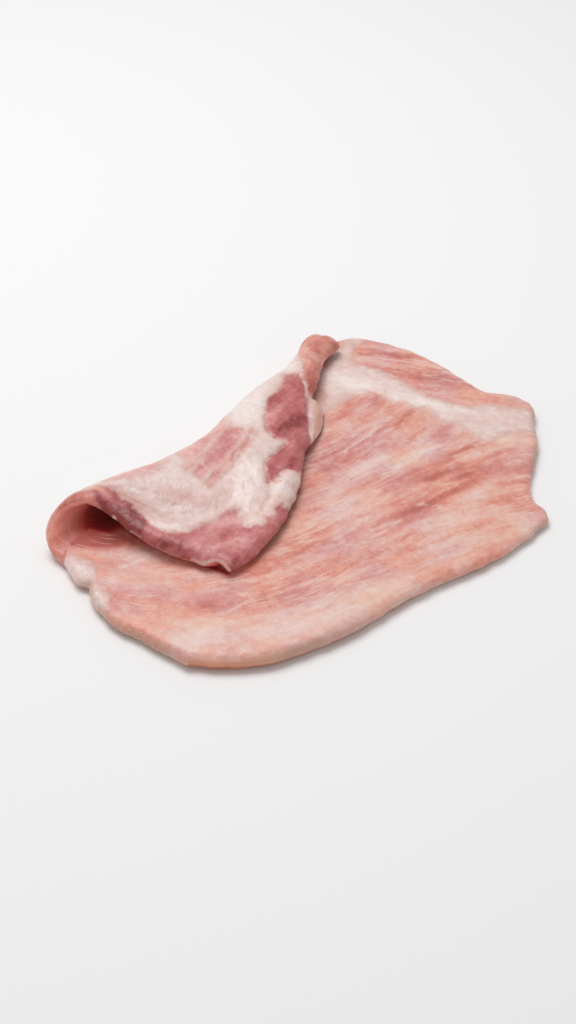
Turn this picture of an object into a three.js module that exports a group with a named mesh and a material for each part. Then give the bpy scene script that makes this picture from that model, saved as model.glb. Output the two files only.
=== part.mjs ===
// Pork belly slab: one boneless sheet of raw belly that lies flat, with its far
// left corner folded over towards the front. Millimetres, +Z up.
//
// The sheet is a grid. "Along" runs with the fold, from its open left end (0) to
// its tight far end (1). "Across" runs over the sheet: from the front and right
// rim of the flat part, up through the bend, and down to the rim of the flap. The
// grid gives the middle of the sheet, and the two skins stand off from it by half
// of the local thickness.
import * as THREE from 'three';

// ---- driving dimensions ------------------------------------------------------

const SHEET = 11;            // thickness of the sheet away from its rims
const RIM_WIDTH = { flat: 0.6, flap: 1 };  // width of the rounded rim, in thicknesses
const RIM_FULLNESS = 2.2;    // 2 gives a half-round rim, more a blunter one
const REST_GAP = 0.6;        // between the flap's rim and the flat part below it

// Plan outline of the flat part, [x, y]. Its left and back rims end on the fold.
const FRONT_RIM = [
  [-76, -177], [-52, -179.5], [-22, -175], [25, -151], [73, -112], [133, -73],
  [158, -48], [168, -36], [167, -26], [160.5, -15], [160, 2], [164, 22], [170, 50],
  [170, 76], [172, 86], [170, 97],
];
const LEFT_RIM = [
  [-76, -177], [-97, -166], [-108, -154], [-124, -143], [-136, -128], [-143, -112],
  [-145, -105], [-152, -102],
];
const BACK_RIM = [
  [170, 97], [156, 107], [136, 112], [122, 127], [100, 152], [70, 173], [42, 182], [26, 178],
];

// Line of the fold on the ground, and the radius to which the sheet bends there.
const FOLD_LINE = [
  [-162, -83], [-157, -63], [-128, -37], [-98, -16], [-67, 16], [-45, 53], [-29, 82],
  [-4, 115], [9, 143], [16, 166],
];
const FOLD_RADIUS = [14.5, 15, 14, 12.2, 10.8, 10.2, 9.3, 8.8, 9.3];

// The cut ends cross the fold at a slant: the share of the fold line at which they
// enter the bend from below and leave it on top.
const LOWER_ENDS = [0, 1];
const UPPER_ENDS = [0.11, 0.985];

// Plan outline of the flap that lies on top. Its left and back rims start on the fold.
const FLAP_RIM = [
  [-50, -104], [-36, -90], [-24, -71], [-12, -44], [-4, -13], [-1, 13], [3, 37], [7, 65],
  [9, 97], [10, 127], [16, 152],
];
const FLAP_LEFT_RIM = [[-133, -60], [-122, -70], [-99, -88], [-76, -97], [-50, -104]];
const FLAP_BACK_RIM = [[16, 152]];

// Thickness of the sheet along the front rim, on top of the fold and along the
// flap's rim, at even shares of each.
const FRONT_THICKNESS = [12.5, 12.5, 12, 11.5, 10.5, 9, 8, 9, 10, 10.5];
const FOLD_THICKNESS = [7.5, 10, 11, 11, 11, 10.5];
const FLAP_THICKNESS = [9, 11, 13, 14, 14, 13];
const FRONT_REACH = 0.4;     // share of the flat part over which its rim's thickness fades

// How soon the flap comes down from the bend: under 1 early, over 1 late.
const FLAP_DROP = [0.5, 0.72, 1, 1.2, 1.3, 1.3];

// Broad rolls and hollows of the flap's outer side: where, how far they reach along
// and beside their heading (degrees), and how high they stand.
const SWELLS = [
  { at: [-86, -52], reach: [40, 15], heading: -8, height: -2.6 },  // hollow below the fold
  { at: [-36, -14], reach: [36, 13], heading: 100, height: 2.4 },  // ridge of fat
  { at: [-5, 32], reach: [38, 12], heading: 88, height: 2.2 },     // roll at the right rim
  { at: [-20, 78], reach: [30, 8], heading: 66, height: -1.6 },    // furrow beside it
  { at: [-78, -82], reach: [36, 12], heading: -16, height: 2 },    // roll at the left rim
  { at: [-26, -72], reach: [22, 14], heading: 60, height: 1.6 },   // lobe near the tip
];

// Grid: even steps, and close stations at these depths beside each free rim.
const STEPS = { along: 44, flat: 20, bend: 8, flap: 12 };
const RIM_DEPTHS = [0.7, 2.2, 4.5];
const MEAN_LENGTH = { along: 380, flat: 190, flap: 80 };
const STATION_ROOM = 0.3;    // an even station this near to a rim station, in steps, is dropped

// ---- curves --------------------------------------------------------------------

const { lerp, clamp, degToRad } = THREE.MathUtils;
const ORIGIN = new THREE.Vector2(0, 0);
const ease = (t) => THREE.MathUtils.smoothstep(t, 0, 1);

// A smooth curve through plan points, read by its share of length.
function rail(points) {
  const curve = new THREE.CatmullRomCurve3(points.map(([x, y]) => new THREE.Vector3(x, y, 0)));
  return (share) => curve.getPointAt(clamp(share, 0, 1));
}

// A smooth value through evenly spaced numbers.
function profile(values) {
  const curve = new THREE.CatmullRomCurve3(values.map((v, i) => new THREE.Vector3(i, v, 0)));
  return (share) => curve.getPoint(clamp(share, 0, 1)).y;
}

// A patch that fills four rails: first and last run along, left and right across.
function patch(first, last, left, right) {
  const corners = [first(0), first(1), last(0), last(1)];
  return (u, v) => {
    const point = new THREE.Vector3();
    point.addScaledVector(first(u), 1 - v).addScaledVector(last(u), v);
    point.addScaledVector(left(v), 1 - u).addScaledVector(right(v), u);
    point.addScaledVector(corners[0], -(1 - u) * (1 - v)).addScaledVector(corners[1], -u * (1 - v));
    point.addScaledVector(corners[2], -(1 - u) * v).addScaledVector(corners[3], -u * v);
    return point;
  };
}

// Shares from 0 to 1 in even steps, with the close stations at the free ends.
function stations(steps, meanLength, freeStart, freeEnd) {
  const depths = RIM_DEPTHS.map((depth) => depth / meanLength);
  const even = Array.from({ length: steps + 1 }, (_, i) => i / steps);
  const near = freeStart ? depths : [];
  const far = freeEnd ? depths.map((depth) => 1 - depth) : [];
  const room = STATION_ROOM / steps;
  const clear = (share) => [...near, ...far].every((other) => Math.abs(share - other) > room);
  return [0, ...near, ...even.slice(1, -1).filter(clear), ...far, 1].sort((a, b) => a - b);
}

// ---- the middle of the sheet ---------------------------------------------------

const foldLine = rail(FOLD_LINE);
const foldRadius = profile(FOLD_RADIUS);
const frontThickness = profile(FRONT_THICKNESS);
const foldThickness = profile(FOLD_THICKNESS);
const flapThickness = profile(FLAP_THICKNESS);
const flapDrop = profile(FLAP_DROP);
const lowerShare = (u) => lerp(LOWER_ENDS[0], LOWER_ENDS[1], u);
const upperShare = (u) => lerp(UPPER_ENDS[0], UPPER_ENDS[1], u);

// Direction in plan that points out of the fold, away from the flat part.
function foldOutward(share) {
  const nearby = 0.002;
  const travel = foldLine(share + nearby).sub(foldLine(share - nearby)).normalize();
  return new THREE.Vector3(-travel.y, travel.x, 0);
}

const onFold = (share) => foldLine(share).toArray().slice(0, 2);

const flatPatch = patch(
  rail(FRONT_RIM),
  (u) => foldLine(lowerShare(u)),
  rail([...LEFT_RIM, onFold(LOWER_ENDS[0])]),
  rail([...BACK_RIM, onFold(LOWER_ENDS[1])]),
);
const flapPatch = patch(
  (u) => foldLine(upperShare(u)),
  rail(FLAP_RIM),
  rail([onFold(UPPER_ENDS[0]), ...FLAP_LEFT_RIM]),
  rail([onFold(UPPER_ENDS[1]), ...FLAP_BACK_RIM]),
);

// Each region gives the middle of the sheet, its thickness, and how far it has
// turned over: 0 where it lies flat, 1 on the flap.
function flatStation(u, v) {
  const point = flatPatch(u, v);
  const thickness = lerp(frontThickness(u), SHEET, ease(v / FRONT_REACH));
  point.z = thickness / 2;
  return { point, thickness, turned: 0 };
}

function bendStation(u, turn) {
  const share = lerp(lowerShare(u), upperShare(u), turn);
  const angle = (turn - 0.5) * Math.PI;
  const radius = foldRadius(share);
  const point = foldLine(share).addScaledVector(foldOutward(share), radius * Math.cos(angle));
  point.z = SHEET / 2 + radius * (1 + Math.sin(angle));
  return { point, thickness: lerp(SHEET, foldThickness(share), ease(turn)), turned: turn };
}

function flapStation(u, w) {
  const point = flapPatch(u, w);
  const share = upperShare(u);
  const top = SHEET / 2 + 2 * foldRadius(share);
  const rest = SHEET + REST_GAP + flapThickness(u) / 2;
  point.z = lerp(top, rest, ease(w ** flapDrop(u)));
  return { point, thickness: lerp(foldThickness(share), flapThickness(u), w), turned: 1 };
}

function middleOfSheet() {
  const along = stations(STEPS.along, MEAN_LENGTH.along, true, true);
  const flat = stations(STEPS.flat, MEAN_LENGTH.flat, true, false);
  const bend = stations(STEPS.bend, 1, false, false).slice(1, -1);
  const flap = stations(STEPS.flap, MEAN_LENGTH.flap, false, true);
  return along.map((u) => [
    ...flat.map((v) => flatStation(u, v)),
    ...bend.map((turn) => bendStation(u, turn)),
    ...flap.map((w) => flapStation(u, w)),
  ]);
}

// ---- the two skins ---------------------------------------------------------------

// Length walked along a row of stations from its first to each of its stations.
function walked(row) {
  const lengths = [0];
  for (let k = 1; k < row.length; k += 1) {
    lengths.push(lengths[k - 1] + row[k].point.distanceTo(row[k - 1].point));
  }
  return lengths;
}

// Distance over the sheet from a station to the nearest free rim.
function rimDistances(grid) {
  const across = grid.map(walked);
  const along = grid[0].map((_, j) => walked(grid.map((row) => row[j])));
  return grid.map((row, i) => row.map((_, j) => Math.min(
    across[i][j], across[i].at(-1) - across[i][j],
    along[j][i], along[j].at(-1) - along[j][i],
  )));
}

function normalAt(grid, i, j) {
  const last = { i: grid.length - 1, j: grid[0].length - 1 };
  const at = (a, b) => grid[clamp(a, 0, last.i)][clamp(b, 0, last.j)].point;
  const alongStep = at(i + 1, j).clone().sub(at(i - 1, j));
  const acrossStep = at(i, j + 1).clone().sub(at(i, j - 1));
  return alongStep.cross(acrossStep).normalize();
}

// How much of the full thickness is left at a depth of 0 to 1 into the rounded rim.
const fullness = (depth) => Math.sqrt(1 - (1 - depth) ** RIM_FULLNESS);

function swellHeight({ x, y }) {
  return SWELLS.reduce((sum, { at, reach, heading, height }) => {
    const offset = new THREE.Vector2(x - at[0], y - at[1]).rotateAround(ORIGIN, -degToRad(heading));
    return sum + height * Math.exp(-((offset.x / reach[0]) ** 2) - (offset.y / reach[1]) ** 2);
  }, 0);
}

// The two skins. The outer one is under the flat part and on top of the flap.
function skins(grid) {
  const distances = rimDistances(grid);
  const outer = [];
  const inner = [];
  grid.forEach((row, i) => {
    const vertices = row.map(({ point, thickness, turned }, j) => {
      const rimWidth = thickness * lerp(RIM_WIDTH.flat, RIM_WIDTH.flap, turned);
      const depth = clamp(distances[i][j] / rimWidth, 0, 1);
      const half = (thickness / 2) * fullness(depth);
      const normal = normalAt(grid, i, j);
      const swell = turned * fullness(depth) * swellHeight(point);
      const below = point.clone().addScaledVector(normal, -half - swell);
      if (turned === 0 && depth === 1) below.z = 0;
      return { below, above: point.clone().addScaledVector(normal, half) };
    });
    outer.push(vertices.map(({ below }) => below));
    inner.push(vertices.map(({ above }) => above));
  });
  return { outer, inner };
}

// Joins both skins into one closed body. They share the vertices of the rim, and
// the diagonals point at the grid's corners, so that no triangle lies in the rim.
function closedBody(inner, outer) {
  const rows = inner.length;
  const columns = inner[0].length;
  const onRim = (i, j) => i === 0 || j === 0 || i === rows - 1 || j === columns - 1;
  const positions = [];
  const indices = [];
  const number = (vertices) => vertices.map((row) => row.map((vertex) => {
    positions.push(vertex.x, vertex.y, vertex.z);
    return positions.length / 3 - 1;
  }));
  const innerIds = number(inner);
  const outerIds = number(outer).map((row, i) => row.map((id, j) => (onRim(i, j) ? innerIds[i][j] : id)));

  const cover = (ids, facesUp) => {
    const triangle = (a, b, c) => (facesUp ? indices.push(a, b, c) : indices.push(a, c, b));
    for (let i = 0; i < rows - 1; i += 1) {
      for (let j = 0; j < columns - 1; j += 1) {
        const [a, b, c, d] = [ids[i][j], ids[i + 1][j], ids[i + 1][j + 1], ids[i][j + 1]];
        const rising = (i < rows / 2) === (j < columns / 2);
        if (rising) {
          triangle(a, b, c);
          triangle(a, c, d);
        } else {
          triangle(a, b, d);
          triangle(b, c, d);
        }
      }
    }
  };
  cover(innerIds, true);
  cover(outerIds, false);

  const geometry = new THREE.BufferGeometry();
  geometry.setAttribute('position', new THREE.Float32BufferAttribute(positions, 3));
  geometry.setIndex(indices);
  return geometry;
}

// Puts the origin on the ground, under the middle of the footprint.
function centre(geometry) {
  geometry.computeBoundingBox();
  const { min, max } = geometry.boundingBox;
  geometry.translate(-(min.x + max.x) / 2, -(min.y + max.y) / 2, -min.z);
  geometry.computeVertexNormals();
  return geometry;
}

// ---- the slab ----------------------------------------------------------------------

function bellySlab() {
  const { outer, inner } = skins(middleOfSheet());
  const material = new THREE.MeshStandardMaterial({ color: 0xd9938a, roughness: 0.42, metalness: 0 });
  const mesh = new THREE.Mesh(centre(closedBody(inner, outer)), material);
  mesh.name = 'belly_slab';
  return mesh;
}

const slab = new THREE.Group();
slab.add(bellySlab());

export default slab;
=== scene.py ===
"""Looks of the pork belly slab: a raw sheet of belly with its far left corner folded over.

The piece repeats the solid's form on a finer grid and adds relief, marbling and a wet
finish. Lengths are millimetres until the mesh is made, in metres. The driving dimensions
are in the solid's own coordinates, and row_shift moves the sheet into the row frame.
Pixels are those of the photograph's frame, 576 by 1024.
"""

import math

import bpy
import numpy as np
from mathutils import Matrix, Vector


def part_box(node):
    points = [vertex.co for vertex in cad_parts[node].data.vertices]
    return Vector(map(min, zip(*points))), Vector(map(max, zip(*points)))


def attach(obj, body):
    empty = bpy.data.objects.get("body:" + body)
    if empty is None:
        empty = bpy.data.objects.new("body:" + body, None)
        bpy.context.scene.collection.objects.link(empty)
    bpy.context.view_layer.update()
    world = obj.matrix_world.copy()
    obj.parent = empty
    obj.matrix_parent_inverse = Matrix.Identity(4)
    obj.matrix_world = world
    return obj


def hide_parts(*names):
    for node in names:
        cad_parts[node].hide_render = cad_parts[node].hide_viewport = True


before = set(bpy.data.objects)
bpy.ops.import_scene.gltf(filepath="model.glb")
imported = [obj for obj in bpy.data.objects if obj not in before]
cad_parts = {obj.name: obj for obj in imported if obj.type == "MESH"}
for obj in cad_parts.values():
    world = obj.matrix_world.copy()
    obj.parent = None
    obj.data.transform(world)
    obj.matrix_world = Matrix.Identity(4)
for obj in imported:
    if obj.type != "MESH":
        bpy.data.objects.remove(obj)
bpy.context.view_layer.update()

NODE = "belly_slab"
MM = 0.001

# ---- driving dimensions: the solid's, but for a few rim points and the flat rim's width ----

SHEET = 11                                # thickness away from the rims
RIM_WIDTH = {"flat": 0.75, "flap": 1.0}   # width of the rounded rim, in thicknesses
RIM_FULLNESS = 2.2                        # 2 gives a half-round rim, more a blunter one
REST_GAP = 0.6                            # between the flap's rim and the flat part

# Plan outline of the flat part. Its left and back rims end on the fold.
FRONT_RIM = [
    (-76, -177), (-52, -179.5), (-22, -175), (25, -151), (73, -112), (133, -73),
    (158, -48), (168, -36), (167, -26), (160.5, -15), (160, 2), (164, 22), (170, 50),
    (170, 76), (172, 86), (170, 97),
]
LEFT_RIM = [
    (-76, -177), (-95.5, -163.8), (-108, -154), (-124, -143), (-136, -128), (-143, -112),
    (-145, -105), (-152, -102),
]
BACK_RIM = [
    (170, 97), (156, 107), (136, 112), (122, 127), (100, 152), (70, 173), (42, 182), (26, 178),
]

# Line of the fold on the ground, and the radius to which the sheet bends there.
FOLD_LINE = [
    (-162, -83), (-157, -63), (-128, -37), (-98, -16), (-67, 16), (-45, 53), (-29, 82),
    (-4, 115), (9, 143), (16, 166),
]
FOLD_RADIUS = [14.5, 15, 14, 12.2, 10.8, 10.2, 9.3, 8.8, 9.3]

# The cut ends cross the fold at a slant: the share of the fold line at which they enter
# the bend from below and leave it on top.
LOWER_ENDS = (0, 1)
UPPER_ENDS = (0.11, 0.985)

# Plan outline of the flap that lies on top. Its left and back rims start on the fold.
FLAP_RIM = [
    (-50, -104), (-36, -90), (-24, -71), (-12, -44), (-4, -13), (-1, 13), (3, 37), (7, 65),
    (9, 97), (10.5, 121), (14, 136), (20.5, 148), (28, 159),
]
FLAP_LEFT_RIM = [(-133, -59), (-122, -67), (-99, -83), (-76, -92.5), (-50, -104)]
FLAP_BACK_RIM = [(28, 159)]

# Thickness along the front rim, on top of the fold and along the flap's rim.
FRONT_THICKNESS = [12.5, 12.5, 12, 11.5, 10.5, 9, 8, 9, 10, 10.5]
FOLD_THICKNESS = [7.5, 10, 11, 11, 11, 10.5]
FLAP_THICKNESS = [9, 11, 13, 14, 14, 13]
FRONT_REACH = 0.4     # share of the flat part over which its rim's thickness fades
FLAP_DROP = [0.5, 0.72, 1, 1.2, 1.3, 1.3]  # how the flap comes down: under 1 early, over 1 late

# Broad rolls and hollows of the flap: where, reach along and beside the heading, the
# heading in degrees, and the height.
SWELLS = [
    ((-86, -52), (40, 15), -8, -2.6),
    ((-36, -14), (36, 13), 100, 2.4),
    ((-5, 32), (38, 12), 88, 2.2),
    ((-20, 78), (30, 8), 66, -1.6),
    ((-78, -82), (36, 12), -16, 2),
    ((-26, -72), (22, 14), 60, 1.6),
]

# Inside the mouth of the loop the rounded rim is wider, by this share. Each pair says
# where it isn't and where it is, in mm over the sheet from the fold line, and along it.
LOOP_FLARE = {"width": 1.6, "from_fold": (-6, 6), "past_bend": (55, 40), "along": (60, 40)}

# Forms of the flap's rim: the thin lip that hangs out on the right, the notch above it,
# the torn edge beside the tip, whose underside is lifted, and two thinned stretches.
# The lip's pairs are the depths (Y) where it starts and where it is whole.
NEAR_RIM = 0.78       # share of the flap's width from which they rise
TAB = {"top": (83, 79), "foot": (24, 56), "out": 6, "drop": 4.5, "thin": 0.68}
NOTCH = {"at": 89, "reach": 6, "in": 4.5, "thin": 0.3}
LIFT = {"at": (-61, -98), "reach": (8.5, 12), "heading": -15, "thin": 0.62, "up": 4, "in": 6}
THIN_RIMS = [
    {"at": (27, 157), "reach": (16, 14), "heading": 40, "thin": 0.55, "drop": 3.6},
    {"at": (11, 119), "reach": (20, 11), "heading": 80, "thin": 0.42, "drop": 2.8},
]

# ---- the fine grid ----

STEPS = {"along": 288, "flat": 140, "bend": 28, "flap": 72}
RIM_DEPTHS = [0.25, 0.8, 1.6, 2.6, 3.8]   # of the close stations beside each free rim
MEAN_LENGTH = {"along": 380, "flat": 190, "flap": 80}
STATION_ROOM = 0.45   # an even station this near to a rim station, in steps, is dropped
BLOCK = 4             # hidden skins are this much coarser
LEVEL_FROM = 30       # this far from the fold, the distance to the rim is taken on the level
RAGGED = {"by": 1.1, "size": 7, "fade": 6}   # unevenness of the cut rims

# ---- camera: the photograph's as it was worked out, in mm and degrees ----

CAMERA_TARGET = (-10.2, -34.5, 10)
CAMERA_ELEVATION = 40
CAMERA_DISTANCE = 1180
LENS = 60
SENSOR = 36             # along the taller side of the picture
IMAGE = (576, 1024)     # pixels
TOP_OF_SHEET = SHEET    # height of the places that the flat part's pixels show


def ease(t):
    t = np.clip(t, 0, 1)
    return t * t * (3 - 2 * t)


def fade(value, start, end):
    """0 before the start and 1 past the end, with a smooth change between."""
    return ease((value - start) / (end - start))


def lerp(a, b, t):
    return a + (b - a) * t


# ---- pixels of the photograph and places on the object ----

def camera_axes():
    """The camera's place and its right, up and back directions, in millimetres."""
    tilt = math.radians(CAMERA_ELEVATION)
    back = np.array([0, -math.cos(tilt), math.sin(tilt)])
    place = np.array(CAMERA_TARGET, float) + back * CAMERA_DISTANCE
    return place, np.array([1.0, 0, 0]), np.array([0, math.sin(tilt), math.cos(tilt)]), back


def to_pixels(points):
    place, right, up, back = camera_axes()
    offset = points - place
    scale = LENS / SENSOR * IMAGE[1] / -(offset @ back)
    return np.stack([IMAGE[0] / 2 + scale * (offset @ right), IMAGE[1] / 2 - scale * (offset @ up)], -1)


def from_pixels(pixels, height):
    """The points at that height that the pixels show."""
    place, right, up, back = camera_axes()
    pixels = np.atleast_2d(np.asarray(pixels, float))
    across = (pixels[:, :1] - IMAGE[0] / 2) * SENSOR / (LENS * IMAGE[1])
    down = (pixels[:, 1:] - IMAGE[1] / 2) * SENSOR / (LENS * IMAGE[1])
    rays = across * right - down * up - back
    return place + rays * (height - place[2]) / rays[:, 2:]


# ---- curves ----

def spline(points, t):
    """Centripetal Catmull-Rom curve through the points, read at parameters from 0 to 1."""
    points = np.asarray(points, float)
    padded = np.vstack([2 * points[0] - points[1], points, 2 * points[-1] - points[-2]])
    place = np.clip(np.asarray(t, float), 0, 1) * (len(points) - 1)
    k = np.minimum(place.astype(int), len(points) - 2)
    w = (place - k)[..., None]
    p0, p1, p2, p3 = (padded[k + n] for n in range(4))

    def gap(a, b):
        smallest = 1e-4
        return np.maximum(((a - b) ** 2).sum(-1, keepdims=True) ** 0.25, smallest)

    d0, d1, d2 = gap(p0, p1), gap(p1, p2), gap(p2, p3)
    start = ((p1 - p0) / d0 - (p2 - p0) / (d0 + d1) + (p2 - p1) / d1) * d1
    end = ((p2 - p1) / d1 - (p3 - p1) / (d1 + d2) + (p3 - p2) / d2) * d1
    return (p1 + start * w + (3 * p2 - 3 * p1 - 2 * start - end) * w ** 2
            + (2 * p1 - 2 * p2 + start + end) * w ** 3)


def rail(points):
    """A smooth curve through plan points, read by its share of length."""
    steps = 1500
    fine = spline(points, np.linspace(0, 1, steps))
    length = np.concatenate([[0], np.cumsum(np.linalg.norm(np.diff(fine, axis=0), axis=1))])

    def at(share):
        reach = np.clip(share, 0, 1) * length[-1]
        return np.stack([np.interp(reach, length, fine[:, axis]) for axis in (0, 1)], -1)

    return at


def profile(values):
    """A smooth value through evenly spaced numbers."""
    points = [(i, value) for i, value in enumerate(values)]
    return lambda share: spline(points, share)[..., 1]


def patch(first, last, left, right):
    """A patch that fills four rails: first and last run along, left and right across."""
    corners = [first(0.0), first(1.0), last(0.0), last(1.0)]

    def at(along, across):
        u, v = along[:, None, None], across[None, :, None]
        sides = first(along)[:, None] * (1 - v) + last(along)[:, None] * v
        ends = left(across)[None] * (1 - u) + right(across)[None] * u
        shared = (corners[0] * (1 - u) * (1 - v) + corners[1] * u * (1 - v)
                  + corners[2] * (1 - u) * v + corners[3] * u * v)
        return sides + ends - shared

    return at


def distances_to(places, corners):
    """Distance from each place to a line through the corners, and whether it closes round it."""
    nearest = np.full(len(places), 1e9)
    within = np.zeros(len(places), bool)
    for a, b in zip(corners[:-1], corners[1:]):
        edge = b - a
        share = np.clip((places - a) @ edge / max(edge @ edge, 1e-9), 0, 1)
        nearest = np.minimum(nearest, np.linalg.norm(places - a - share[:, None] * edge, axis=1))
        if a[1] != b[1]:
            crossing = a[0] + (places[:, 1] - a[1]) / edge[1] * edge[0]
            between = (a[1] > places[:, 1]) != (b[1] > places[:, 1])
            within ^= between & (places[:, 0] < crossing)
    return nearest, within


def noise(x, y, seed):
    """Smooth random values from -1 to 1 that change over steps of 1."""
    size = 256
    table = np.random.default_rng(seed).uniform(-1, 1, (size, size))
    column, row = np.floor(x).astype(int), np.floor(y).astype(int)
    across, up = ease(x - column), ease(y - row)
    low = lerp(table[column % size, row % size], table[(column + 1) % size, row % size], across)
    high = lerp(table[column % size, (row + 1) % size],
                table[(column + 1) % size, (row + 1) % size], across)
    return lerp(low, high, up)


def rough(x, y, seed, layers=3):
    """Noise with finer, weaker noise on top."""
    return sum(noise(x * 2 ** k, y * 2 ** k, seed + k) / 2 ** k for k in range(layers)) / 1.5


def patchy(places, size, seed, layers=3):
    """Uneven patches of about that size, from about -1 to 1."""
    return rough(places[..., 0] / size, places[..., 1] / size, seed, layers)


# ---- the middle of the sheet ----

fold_line = rail(FOLD_LINE)
fold_radius = profile(FOLD_RADIUS)
front_thickness = profile(FRONT_THICKNESS)
fold_thickness = profile(FOLD_THICKNESS)
flap_thickness = profile(FLAP_THICKNESS)
flap_drop = profile(FLAP_DROP)


def lower_share(u):
    return lerp(LOWER_ENDS[0], LOWER_ENDS[1], u)


def upper_share(u):
    return lerp(UPPER_ENDS[0], UPPER_ENDS[1], u)


def fold_outward(share):
    """Direction in plan that points out of the fold, away from the flat part."""
    nearby = 0.002
    travel = fold_line(share + nearby) - fold_line(share - nearby)
    travel = travel / np.linalg.norm(travel, axis=-1, keepdims=True)
    return np.stack([-travel[..., 1], travel[..., 0]], -1)


def stations(steps, mean_length, free_start, free_end):
    """Shares from 0 to 1 in even steps, with close stations at the free ends."""
    depths = [depth / mean_length for depth in RIM_DEPTHS]
    near = depths if free_start else []
    far = [1 - depth for depth in depths] if free_end else []
    placed = np.array(near + far)
    even = np.linspace(0, 1, steps + 1)
    room = STATION_ROOM / steps
    kept = [share for share in even[1:-1] if not len(placed) or abs(placed - share).min() > room]
    return np.array(sorted([0.0, *near, *kept, *far, 1.0]))


def whole_blocks(shares):
    """The same stations, thinned so that they divide into whole blocks."""
    spare = (len(shares) - 1) % BLOCK
    middle = len(shares) // 2
    return np.delete(shares, range(middle, middle + spare))


def mound(chart, at, reach, heading):
    """A smooth bump of height 1, that long and wide, along a heading in degrees."""
    turn = math.radians(heading)
    offset = chart - np.asarray(at, float)
    along = offset[..., 0] * math.cos(turn) + offset[..., 1] * math.sin(turn)
    beside = offset[..., 1] * math.cos(turn) - offset[..., 0] * math.sin(turn)
    return np.exp(-((along / reach[0]) ** 2) - (beside / reach[1]) ** 2)


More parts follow.
